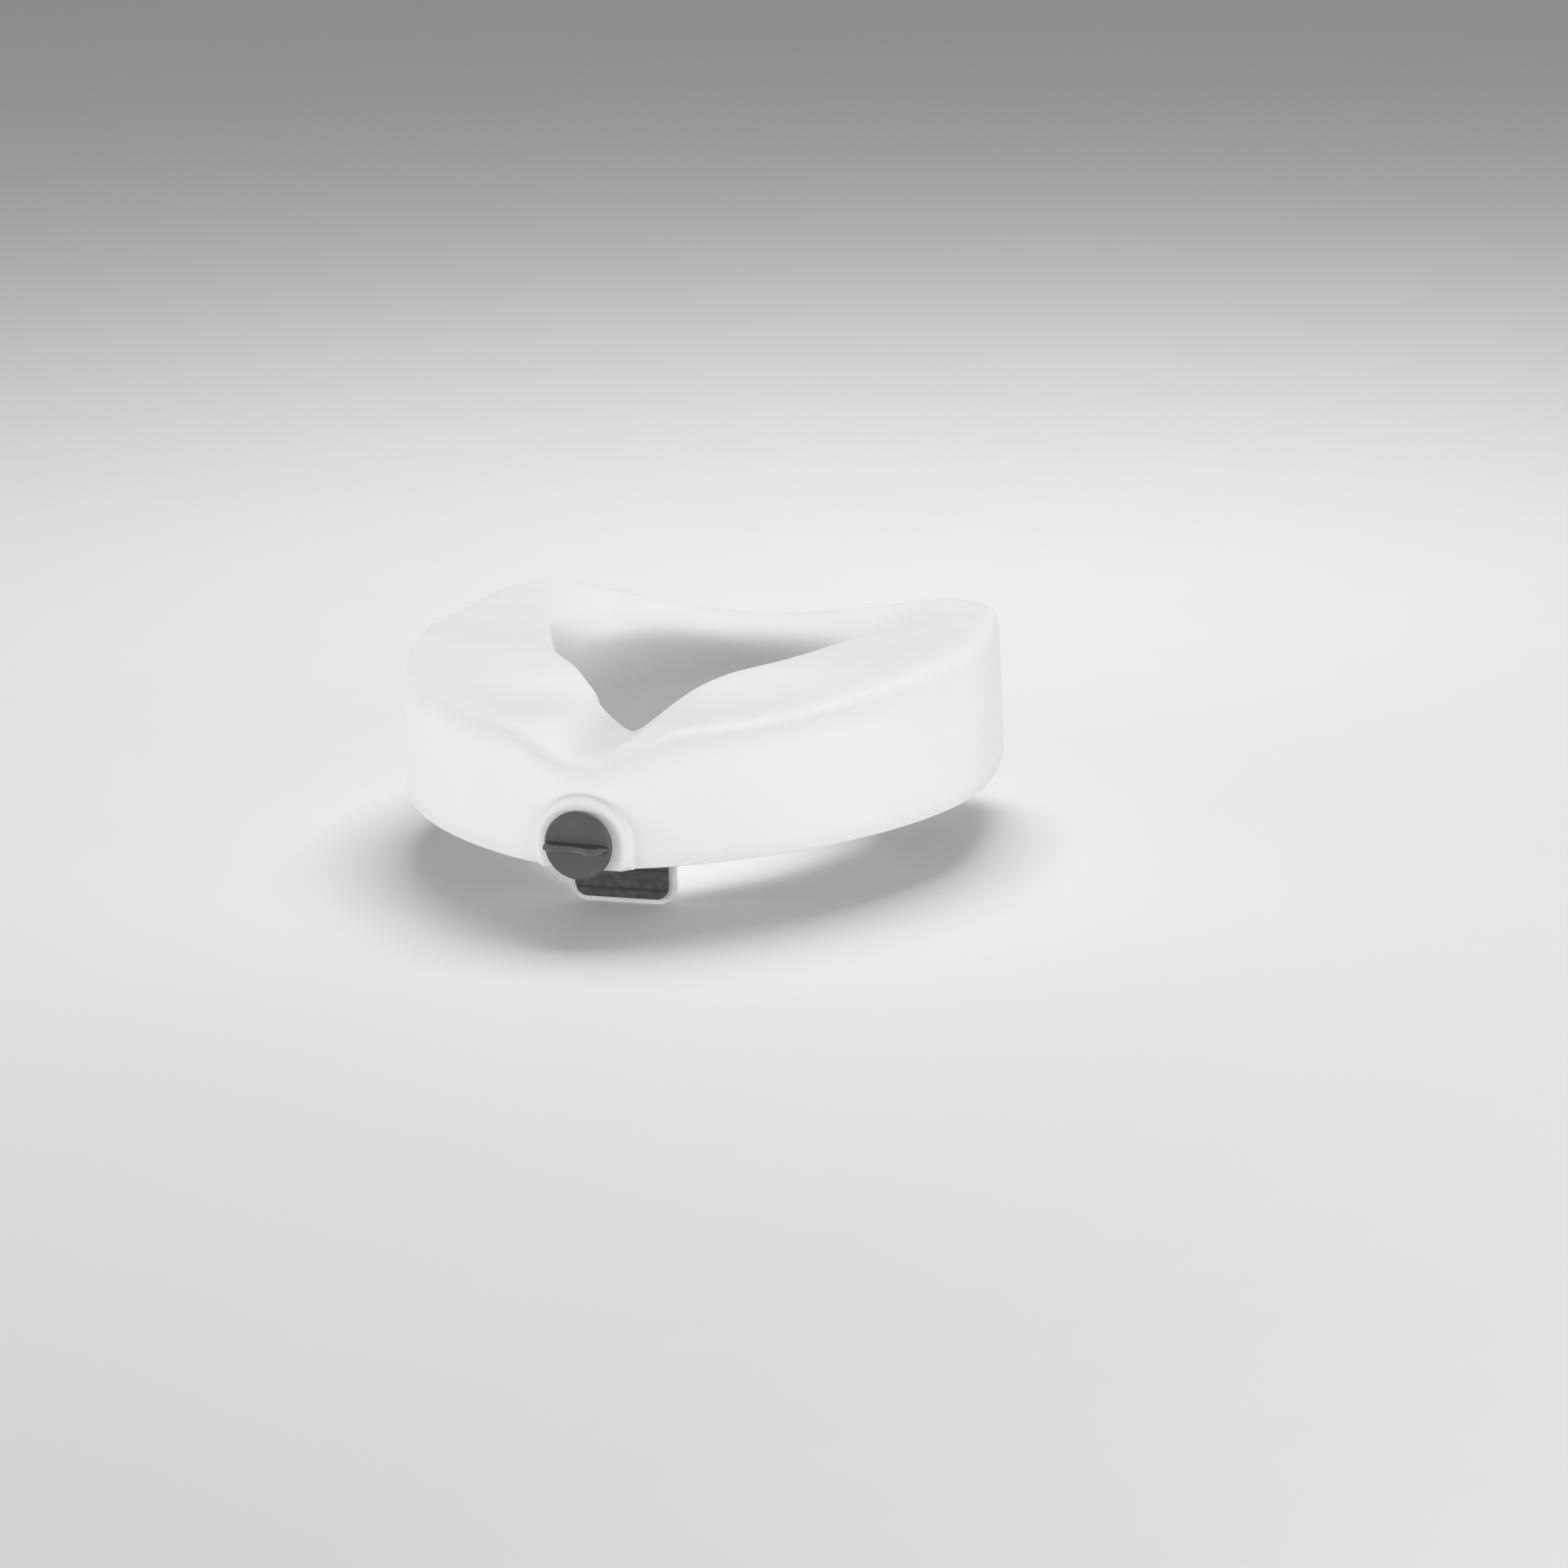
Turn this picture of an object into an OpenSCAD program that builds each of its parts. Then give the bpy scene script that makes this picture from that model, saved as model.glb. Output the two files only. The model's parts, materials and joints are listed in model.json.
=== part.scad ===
// Raised toilet seat with a front locking knob.
// Hollow moulded body, a knob and worm screw at the front, a sliding locking plate
// and two fixed rear brackets that grip the bowl from inside.
// Origin: on the centre line of the flat underside that rests on the bowl, half of body_d
// plus front_bulge behind the front edge of the body. +Z up, the front faces -Y.

/* [Body] */
// Overall width of the body, side to side
body_w = 424; // [420:1:430]
// Depth of the outline, front to back, before the rear edge is curved in
body_d = 405; // [402:1:410]
// Distance of the widest line behind the middle
wide_y = 42.5; // [38:0.5:46]
// Roundness of the front outline (2 is an ellipse)
front_round = 1.77; // [1.7:0.01:1.85]
// How far the middle of the front bulges forward
front_bulge = 6; // [4:0.5:7]
// Squareness of the rear outline
rear_square = 8; // [6.5:0.5:9]
// Share of the width that the rear edge loses
rear_taper = 0.12; // [0.1:0.01:0.14]
// How far the rear edge curves inward
rear_dip = 11; // [8:1:13]
// Wall thickness of the hollow body
wall = 3; // [2.5:0.5:4]

/* [Heights] */
// Height of the rim beside the front scoop
shoulder_h = 92; // [88:1:96]
// Height of the rim at the sides
side_h = 103; // [100:1:106]
// Height of the rim at the rear corners
corner_h = 102; // [100:1:106]
// Height of the rim at the front scoop
scoop_h = 72; // [70:1:76]
// Half width of the front scoop
scoop_w = 44; // [40:1:50]
// How far the middle of the rear rim dips
rear_low = 16.5; // [13:0.5:18]
// Height of the inner lip at the sides
lip_h = 105.5; // [103:0.5:107]

/* [Opening] */
// Front end of the opening, measured from the middle
open_front = 92.5; // [91:0.5:94]
// Rear end of the opening, measured from the middle
open_back = 134; // [132:1:136]
// Half width of the opening at its widest
open_half = 112; // [110:1:114]
// Half width of the opening where its front starts to narrow
neck_half = 52; // [50:1:54]

/* [Clamp] */
// Height of the knob and screw axis above the underside
axis_z = 19; // [18.5:0.5:20]
// Knob diameter
knob_d = 48; // [44:1:50]
// Travel of the locking plate
travel = 18; // [12:1:18]
// Screw lead
lead = 6; // [5:1:6]
// Depth of the locking plate and rear brackets below the underside
reach = 46; // [40:1:50]

/* [Output] */
// Which sub-part to show

/* [Hidden] */
$fn = 48;
front_y = -body_d / 2;
boss_out = 9;
boss_r = 33;
boss_edge = 3;
boss_y = front_y - boss_out;
block_y = front_y + 16.5;
chan_half = 24;
chan_top = 34;
lip_fall = 36.5;
lip_fall_w = 29.5;
lip_rear_fall = 20;
lip_r = 12;
lip_front_r = 7;
lip_rear_r = 34;
rim_r = 30;
rim_front_r = 26;
rim_rear_r = 14;
base_r = 4;
chan_end = front_y + 97.5;
sleeve_r = 8;
journal_r = 5;
tail_r = 4;
crest_r = 6;
root_r = 4.3;
run_gap = 0.05;
slide_gap = 0.4;
flange_t = 1.2;
knob_back = boss_y - flange_t - 0.3 - flange_t;
knob_t = 5.2;
socket_l = 4.1;
wing_h = 8.8;
wing_half_t = 2.4;
pin_in = 2.2;
pin_r = 1;
wing_inset = 2;
knob_face = knob_back - knob_t;
thread_y0 = block_y + 3;
thread_y1 = front_y + 67.5;
tail_y0 = thread_y1 + 1;
tail_t = 8;
screw_end = tail_y0 + tail_t + 2;
arm_z = 5;
arm_t = 5.5;
arm_half = 18;
rail_in = 12.5;
rail_z = 1;
rail_top = 17;
nut_y = front_y + 57.5;
nut_len = 10;
nut_block_t = 14;
tab_y = front_y + 72.5;
tab_t = 6;
tab_half = 38;
tab_top = -2.5;
pad_t = 3;
bracket_x = 52;
bracket_half = 17;
bracket_y = 126;
bracket_t = 5;
foot_d = 38;
foot_t = 3.8;
foot_z = 0.2;
foot_screw_y = [18, 30];
rail_screw_y = [32, 62];
tail_screw_x = 15.5;
shank_r = 1.6;
shank_l = 10;
head_r = 3;
head_t = 2;
rim_pad_t = 2.2;
rim_pad_w = 14;
rim_pad_l = 44;
front_pad = 100;
rear_pad_x = 160;
rear_pad_y = 62;
plug_y = 168;
plug_r = 8;
plug_rim_r = 11;
white = [0.93, 0.93, 0.92];
grey = [0.25, 0.26, 0.27];
rubber = [0.12, 0.12, 0.13];
steel = [0.7, 0.71, 0.73];
brass = [0.75, 0.62, 0.3];
nylon = [0.85, 0.84, 0.8];

// ---------- curves ----------
function ease(t) = let (c = min(max(t, 0), 1)) c * c * (3 - 2 * c);
function mix(a, b, t) = a + (b - a) * t;
function bump(t) = pow(max(1 - t * t, 0), 1.5);

function blend(f) = [pow(1 - f, 3) / 6, (3 * pow(f, 3) - 6 * f * f + 4) / 6,
  (-3 * pow(f, 3) + 3 * f * f + 3 * f + 1) / 6, pow(f, 3) / 6];
function closed_curve(p, n) = let (k = len(p)) [for (j = [0 : n - 1])
  let (t = j * k / n, i = floor(t), w = blend(t - i))
  w[0] * p[(i - 1 + k) % k] + w[1] * p[i % k] + w[2] * p[(i + 1) % k] + w[3] * p[(i + 2) % k]];

// Outer outline at one angle. The front half and the rear half differ, and the sides
// draw in towards the rear. Points crowd together where the corners are tight.
function outline(u) = let (a = u + 5 * sin(4 * u), rear = sin(a) > 0,
  n = rear ? rear_square : front_round, b = body_d / 2 + (rear ? -wide_y : wide_y),
  r = pow(pow(abs(cos(a)) / (body_w / 2), n) + pow(abs(sin(a)) / b, n), -1 / n),
  x = r * cos(a) * (1 - rear_taper * pow(max(r * sin(a) / b, 0), 1.6)), y = r * sin(a) + wide_y)
  [x, y - rear_dip * pow(max(1 - pow(x / 165, 2), 0), 2) * ease((y - 100) / 80)
    - front_bulge * exp(-pow(abs(x) / 80, 3)) * ease(-y / 50)];

// Control points of the opening, front to back on the right side, then mirrored.
half_open = [[0, -open_front], [24, -open_front - 5], [27, -open_front + 8.5],
  [neck_half - 13, -open_front + 16.5], [neck_half, -57], [neck_half + 21, -38.5], [open_half - 21, -5],
  [open_half - 5, 41], [open_half + 5, 64], [open_half - 12, 106], [64, open_back], [0, open_back]];
full_open = concat(half_open, [for (i = [len(half_open) - 2 : -1 : 1])
  [-half_open[i][0], half_open[i][1]]]);

// Height of the rim near the outer wall: level sides, high corners, a low rear middle
// and the scoop at the front.
function rear_part(y) = ease((y + 30) / 210);
function rim_base(x, y) = mix(shoulder_h, side_h, ease((y + 190) / 200))
  + (corner_h - side_h) * rear_part(y) * (1 - bump(x / 175)) - rear_low * rear_part(y) * bump(x / 160);
function rim_h(x, y) = let (z = rim_base(x, y))
  z - (z - scoop_h) * ease((-70 - y) / 90) * exp(-pow(abs(x) / scoop_w, 2.6));

// One closed section of the body, from the opening round over the rim to the outside.
// t insets it to give the hollow.
function section(ip, op, t) = let (
  gap = norm(op - ip), e = (op - ip) / gap, a = ip + e * t, len = gap - 2 * t,
  front = ease((10 - ip[1]) / 70), back = ease((ip[1] - 5) / 95),
  lip = lip_h - lip_fall * front * exp(-pow(abs(ip[0]) / lip_fall_w, 1.6))
    - lip_rear_fall * ease((ip[1] - 25) / 80) - t,
  rim = rim_h(op[0], op[1]) - t,
  lr = lip_r + (lip_front_r - lip_r) * front + (lip_rear_r - lip_r) * back,
  rr = rim_r + (rim_front_r - rim_r) * ease((-op[1] - 60) / 120)
    + (rim_rear_r - rim_r) * ease((op[1] - 110) / 70),
  base = t > 0 ? t : -base_r,
  crown = lr * 0.9 + (len - lr * 0.9 - rr) / 3)
  [for (p = [[base_r, base], [0, base], [0, base + 6], [0, 24], [0, lip * 0.55],
    [0, lip - lr * 1.4], [lr * 0.1, lip - lr * 0.2], [lr * 0.9, lip + 1],
    [crown, lip * 0.6 + rim * 0.4 + 1], [len - rr * 1.6, rim + 1.5], [len - rr * 0.8, rim + 2],
    [len - rr * 0.1, rim - rr * 0.05], [len - 1.6, rim - rr * 1.2], [len - 1, rim * 0.5],
    [len, 24], [len, base + 6], [len, base], [len - base_r, base], [len / 2, base]])
    let (q = a + e * p[0]) [q[0], q[1], p[1]]];

module shell(nu, nv, t) {
  inner = closed_curve(full_open, nu);
  rings = [for (i = [0 : nu - 1]) closed_curve(section(inner[i], outline(-90 + 360 * i / nu), t), nv)];
  points = [for (r = rings) each r];
  faces = [for (i = [0 : nu - 1], j = [0 : nv - 1])
    let (i2 = (i + 1) % nu, j2 = (j + 1) % nv,
      a = i * nv + j, b = i * nv + j2, c = i2 * nv + j2, d = i2 * nv + j)
    each [[a, c, b], [a, d, c]]];
  polyhedron(points = points, faces = faces);
}

// ---------- shared shapes ----------
// Cylinder along +Y from y0 to y1 about the screw axis.
module about_screw(r, y0, y1) {
  translate([0, y1, axis_z]) rotate([90, 0, 0]) cylinder(r = r, h = y1 - y0);
}

module block(x0, x1, y0, y1, z0, z1) {
  translate([x0, y0, z0]) cube([x1 - x0, y1 - y0, z1 - z0]);
}

// Rounded bar lying along X: a box with two round ends.
module bar(l, w, h) {
  translate([-l / 2, -w / 2, 0]) cube([l, w, h]);
  for (s = [-1, 1]) translate([s * l / 2, 0, 0]) cylinder(d = w, h = h);
}

// Upright slab in the XZ plane with rounded lower corners.
module slab(half, y0, y1, z0, z1, r) {
  block(-half, half, y0, y1, z0 + r, z1);
  block(-half + r, half - r, y0, y1, z0, z1);
  for (s = [-1, 1]) translate([s * (half - r), y1, z0 + r]) rotate([90, 0, 0])
    cylinder(r = r, h = y1 - y0);
}

// Countersunk screw pointing along +Z, head at the bottom.
module countersunk(extra) {
  cylinder(r1 = head_r + extra, r2 = shank_r + extra, h = head_t);
  cylinder(r = shank_r + extra, h = shank_l);
}

// Every fixing screw of the seat.
module screw_set(extra) {
  for (s = [-1, 1], y = rail_screw_y)
    translate([s * (arm_half + slide_gap), front_y + y, 13]) rotate([0, s * 90, 0]) countersunk(extra);
  for (s = [-1, 1]) translate([s * tail_screw_x, tail_y0 + tail_t / 2, chan_top - 4]) countersunk(extra);
  for (s = [-1, 1], y = foot_screw_y) translate([s * bracket_x, bracket_y + y, foot_z]) countersunk(extra);
}

module at_rim_pads(front, side) {
  if (front) translate([side * front_pad, -front_pad, 0]) rotate([0, 0, side * 45]) children();
  else translate([side * rear_pad_x, rear_pad_y, 0]) rotate([0, 0, 90]) children();
}

// ---------- body ----------
// Arch round the knob, open at the bottom of the body, with a chamfered front edge.
module boss() {
  root_y = front_y + 10;
  about_screw(boss_r, boss_y + boss_edge, root_y);
  translate([0, boss_y + boss_edge, axis_z]) rotate([90, 0, 0])
    cylinder(r1 = boss_r, r2 = boss_r - boss_edge, h = boss_edge);
  linear_extrude(axis_z) polygon([[-boss_r, root_y], [-boss_r, boss_y + boss_edge],
    [-boss_r + boss_edge, boss_y], [boss_r - boss_edge, boss_y], [boss_r, boss_y + boss_edge],
    [boss_r, root_y]]);
}

// Solid places inside the hollow, where something is bored or fixed.
module solid_places() {
  block(-boss_r, boss_r, front_y - front_bulge, block_y, -1, 50);
  block(-chan_half - 8, chan_half + 8, block_y - 1, chan_end + wall, -1, chan_top + 8);
  for (s = [-1, 1]) {
    translate([s * bracket_x, 0, 0])
      block(-bracket_half - 3, bracket_half + 3, bracket_y - 4, bracket_y + foot_d + 3, -1, 14);
    for (f = [true, false]) at_rim_pads(f, s) translate([0, 0, -1]) bar(rim_pad_l, rim_pad_w + 6, 7);
  }
  translate([0, plug_y, -1]) cylinder(r = plug_rim_r + 3, h = 7);
}

module seat_body() {
  color(white)
  difference() {
    union() {
      difference() {
        shell(100, 32, 0);
        difference() {
          shell(60, 18, wall);
          solid_places();
        }
      }
      boss();
    }
    translate([-300, -300, -20]) cube([600, 600, 20]);
    block(-chan_half, chan_half, block_y, chan_end, -1, chan_top);
    about_screw(sleeve_r + run_gap, boss_y - 1, block_y + 1);
    for (s = [-1, 1]) {
      translate([s * bracket_x, 0, 0])
        block(-bracket_half - 0.2, bracket_half + 0.2, bracket_y - 8, bracket_y + foot_d + 0.2, -1,
          foot_z + foot_t + 0.1);
      for (f = [true, false]) at_rim_pads(f, s) translate([0, 0, -1])
        bar(rim_pad_l, rim_pad_w + 0.2, rim_pad_t + 1.1);
    }
    translate([0, plug_y, -1]) cylinder(r = plug_r + run_gap, h = 12);
    translate([0, plug_y, -1]) cylinder(r = plug_rim_r + 0.1, h = 2.8);
    screw_set(run_gap);
  }
}

module front_bushing() {
  color(nylon) difference() {
    union() {
      about_screw(sleeve_r, boss_y, block_y);
      about_screw(sleeve_r + 4, boss_y - flange_t, boss_y);
    }
    about_screw(journal_r + run_gap, boss_y - 5, block_y + 5);
  }
}

module blow_plug() {
  color(white) translate([0, plug_y, 0]) {
    translate([0, 0, 0.2]) cylinder(r = plug_rim_r, h = 1.6);
    translate([0, 0, 1.7]) cylinder(r = plug_r, h = 6);
  }
}

// ---------- knob and screw ----------
module washer(r, y0) {
  color(steel) difference() {
    about_screw(r, y0, y0 + flange_t);
    about_screw(journal_r + 0.1, y0 - 1, y0 + flange_t + 1);
  }
}
module thrust_washer() { washer(10, knob_back); }
module inner_washer() { washer(11, block_y + 0.3); }

module knob() {
  wing_half = knob_d / 2 - wing_inset;
  color(grey) difference() {
    union() {
      translate([0, knob_back, axis_z]) rotate([90, 0, 0]) rotate_extrude($fn = 96) polygon([[0, 0],
        [knob_d / 2 - 0.8, 0], [knob_d / 2, 0.8], [knob_d / 2, knob_t - 2.2],
        [knob_d / 2 - 0.7, knob_t - 0.7], [knob_d / 2 - 2.2, knob_t], [0, knob_t]]);
      block(-wing_half, wing_half, knob_face - wing_h, knob_face + 1, axis_z - wing_half_t,
        axis_z + wing_half_t);
      for (s = [-1, 1]) translate([s * wing_half, knob_face + 1, axis_z]) rotate([90, 0, 0])
        cylinder(r = wing_half_t, h = wing_h + 1);
    }
    about_screw(tail_r, knob_back - socket_l - 0.1, knob_back + 1);
    translate([0, knob_back - pin_in, axis_z - knob_d]) cylinder(r = pin_r + run_gap, h = knob_d + 8);
  }
}

module knob_pin() {
  color(steel) translate([0, knob_back - pin_in, axis_z - 8]) cylinder(r = pin_r, h = 16);
}

module worm_screw() {
  pitch = lead;
  turns = floor((thread_y1 - thread_y0) / pitch);
  clip_y = block_y + 0.3 + flange_t + 0.1;
  color(steel) difference() {
    union() {
      about_screw(tail_r, knob_back - socket_l, knob_back + 1);
      about_screw(journal_r, knob_back, clip_y);
      about_screw(root_r - 0.6, clip_y - 0.1, clip_y + flange_t + 0.2);
      about_screw(root_r, clip_y + flange_t + 0.1, thread_y1);
      about_screw(tail_r, thread_y1 - 1, screw_end);
      for (i = [0 : turns - 1]) translate([0, thread_y0 + (i + 0.5) * pitch, axis_z])
        rotate([90, 0, 0]) rotate_extrude() polygon([[0, -1.9], [root_r, -1.9], [crest_r, -0.8],
          [crest_r, 0.8], [root_r, 1.9], [0, 1.9]]);
    }
    translate([0, knob_back - pin_in, axis_z - 20]) cylinder(r = pin_r + run_gap, h = 40);
  }
}

module retaining_clip() {
  clip_y = block_y + 0.3 + flange_t + 0.15;
  color(steel) difference() {
    about_screw(8, clip_y, clip_y + flange_t);
    about_screw(root_r - 0.5, clip_y - 1, clip_y + flange_t + 1);
    block(-2.6, 2.6, clip_y - 1, clip_y + flange_t + 1, axis_z, axis_z + 12);
  }
}

// ---------- sliding locking plate ----------
module gusset(x, t, y, z, dy, dz) {
  translate([x - t / 2, y, z]) rotate([90, 0, 90]) linear_extrude(t) polygon([[0, 0], [dy, 0], [0, -dz]]);
}

module locking_plate() {
  color(nylon) difference() {
    union() {
      block(-13, 13, nut_y - nut_block_t / 2, nut_y + nut_block_t / 2, arm_z, axis_z + 12);
      block(-arm_half, arm_half, nut_y - nut_block_t / 2, tab_y + tab_t, arm_z, arm_z + arm_t);
      block(-12, 12, tab_y, tab_y + tab_t, tab_top - 1, arm_z + 1);
      slab(tab_half, tab_y, tab_y + tab_t, -reach, tab_top, 12);
      for (x = [-8, 8]) gusset(x, 4, tab_y + tab_t - 0.1, arm_z + arm_t, 10, 44);
    }
    about_screw(crest_r + 0.8, nut_y - 20, nut_y + 20);
    translate([0, nut_y + nut_block_t / 2 + 0.1, axis_z]) rotate([90, 30, 0])
      cylinder(r = 10.1, h = nut_len + 0.2, $fn = 6);
  }
}

module drive_nut() {
  color(brass) difference() {
    translate([0, nut_y + nut_block_t / 2, axis_z]) rotate([90, 30, 0]) cylinder(r = 10, h = nut_len, $fn = 6);
    about_screw(crest_r + run_gap, nut_y - 20, nut_y + 20);
  }
}

module plate_pad() {
  color(rubber) difference() {
    slab(tab_half - 4, tab_y - pad_t, tab_y, -reach + 4, -7, 9);
    for (i = [1 : 4]) block(-tab_half, tab_half, tab_y - pad_t - 1, tab_y - pad_t + 1,
      -reach + 2 + 7.5 * i, -reach + 4 + 7.5 * i);
  }
}

// ---------- guides and tail bearing ----------
module guide_rail(s) {
  y0 = front_y + 22;
  y1 = chan_end - 2;
  color(nylon) difference() {
    mirror([s < 0 ? 1 : 0, 0, 0]) {
      block(arm_half + slide_gap, chan_half - run_gap, y0, y1, rail_z, rail_top);
      block(rail_in, chan_half - run_gap, y0, y1, rail_z, arm_z - slide_gap);
    }
    screw_set(run_gap);
  }
}
module guide_rail_left() { guide_rail(-1); }
module guide_rail_right() { guide_rail(1); }

module tail_bearing() {
  color(nylon) difference() {
    union() {
      block(-9, 9, tail_y0, tail_y0 + tail_t, axis_z - 7, chan_top - run_gap);
      block(-20, 20, tail_y0, tail_y0 + tail_t, chan_top - 4, chan_top - run_gap);
    }
    about_screw(tail_r + run_gap, tail_y0 - 1, tail_y0 + tail_t + 1);
    screw_set(run_gap);
  }
}

module fixing_screws() { color(steel) screw_set(0); }

// ---------- rear brackets ----------
module rear_bracket(s) {
  color(nylon) difference() {
    translate([s * bracket_x, 0, 0]) {
      block(-bracket_half, bracket_half, bracket_y, bracket_y + foot_d, foot_z, foot_z + foot_t);
      slab(bracket_half, bracket_y, bracket_y + bracket_t, -reach, foot_z + 1, 8);
      gusset(0, 4, bracket_y + 0.1, foot_z + foot_t, -7, 40);
    }
    screw_set(run_gap);
  }
}
module rear_bracket_left() { rear_bracket(-1); }
module rear_bracket_right() { rear_bracket(1); }

module bracket_pad(s) {
  color(rubber) translate([s * bracket_x, 0, 0]) difference() {
    slab(bracket_half - 2, bracket_y + bracket_t, bracket_y + bracket_t + pad_t, -reach + 4, -7, 6);
    for (i = [1 : 4]) block(-bracket_half, bracket_half, bracket_y + bracket_t + pad_t - 1,
      bracket_y + bracket_t + pad_t + 1, -reach + 2 + 7.5 * i, -reach + 4 + 7.5 * i);
  }
}
module bracket_pad_left() { bracket_pad(-1); }
module bracket_pad_right() { bracket_pad(1); }

module rim_pad(front, side) { color(rubber) at_rim_pads(front, side) bar(rim_pad_l, rim_pad_w, rim_pad_t); }
module rim_pad_front_left() { rim_pad(true, -1); }
module rim_pad_front_right() { rim_pad(true, 1); }
module rim_pad_rear_left() { rim_pad(false, -1); }
module rim_pad_rear_right() { rim_pad(false, 1); }

seat_body();
front_bushing();
thrust_washer();
knob();
knob_pin();
worm_screw();
inner_washer();
retaining_clip();
locking_plate();
drive_nut();
plate_pad();
guide_rail_left();
guide_rail_right();
tail_bearing();
fixing_screws();
rear_bracket_left();
rear_bracket_right();
bracket_pad_left();
bracket_pad_right();
rim_pad_front_left();
rim_pad_front_right();
rim_pad_rear_left();
rim_pad_rear_right();
blow_plug();
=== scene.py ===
import json
import math

import bmesh
import bpy
import numpy as np
from mathutils import Matrix, Vector
from mathutils.bvhtree import BVHTree


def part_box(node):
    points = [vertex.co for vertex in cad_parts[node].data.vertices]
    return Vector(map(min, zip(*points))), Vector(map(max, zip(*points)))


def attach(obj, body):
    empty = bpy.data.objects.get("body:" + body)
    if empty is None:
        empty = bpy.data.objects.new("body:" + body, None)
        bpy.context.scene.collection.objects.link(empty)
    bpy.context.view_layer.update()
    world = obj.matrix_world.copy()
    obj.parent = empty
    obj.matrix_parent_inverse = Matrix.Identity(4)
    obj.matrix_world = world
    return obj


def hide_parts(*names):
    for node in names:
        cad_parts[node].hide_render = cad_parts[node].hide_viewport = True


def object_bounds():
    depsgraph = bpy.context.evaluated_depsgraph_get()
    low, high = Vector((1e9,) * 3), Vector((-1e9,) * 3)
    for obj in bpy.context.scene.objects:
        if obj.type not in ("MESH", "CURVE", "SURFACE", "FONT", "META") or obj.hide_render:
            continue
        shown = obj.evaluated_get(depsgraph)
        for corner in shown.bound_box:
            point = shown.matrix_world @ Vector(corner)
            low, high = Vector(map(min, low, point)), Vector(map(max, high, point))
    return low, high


# The seat's visual model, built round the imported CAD. Shapes are worked out in millimetres and scaled by MM.
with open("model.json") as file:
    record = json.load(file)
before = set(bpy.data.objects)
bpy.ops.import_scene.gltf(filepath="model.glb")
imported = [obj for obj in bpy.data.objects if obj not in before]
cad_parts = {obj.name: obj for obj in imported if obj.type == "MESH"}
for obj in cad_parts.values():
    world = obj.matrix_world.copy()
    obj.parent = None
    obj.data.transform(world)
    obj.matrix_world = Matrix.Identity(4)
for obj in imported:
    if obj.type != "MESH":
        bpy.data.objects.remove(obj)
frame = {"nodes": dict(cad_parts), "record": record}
cad_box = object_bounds()
MM = 0.001


# ---------------------------------------------------------------- camera
AZIMUTH, ELEVATION, ROLL = math.radians(18.0), math.radians(15.26), math.radians(-1.58)
CAMERA_DISTANCE, CAMERA_SIDE, CAMERA_RISE = 4.0, 0.0734, 0.0039
LENS_MM, SENSOR_MM = 128.72, 36


def add_camera():
    """Camera at the photograph's viewing angle: a long lens, in front, a little to the right and above."""
    level = math.cos(ELEVATION)
    back = Vector((math.sin(AZIMUTH) * level, -math.cos(AZIMUTH) * level, math.sin(ELEVATION)))
    right = Vector((math.cos(AZIMUTH), math.sin(AZIMUTH), 0))
    up = back.cross(right)
    cam_right = right * math.cos(ROLL) + up * math.sin(ROLL)
    cam_up = up * math.cos(ROLL) - right * math.sin(ROLL)
    spot = cam_right * CAMERA_SIDE + cam_up * CAMERA_RISE + back * CAMERA_DISTANCE
    cam = bpy.data.objects.new("camera", bpy.data.cameras.new("camera"))
    cam.matrix_world = Matrix.Translation(spot) @ Matrix((cam_right, cam_up, back)).transposed().to_4x4()
    cam.data.sensor_width = SENSOR_MM
    cam.data.lens = LENS_MM
    cam.data.dof.use_dof = False
    bpy.context.scene.collection.objects.link(cam)
    bpy.context.scene.camera = cam


add_camera()


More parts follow.
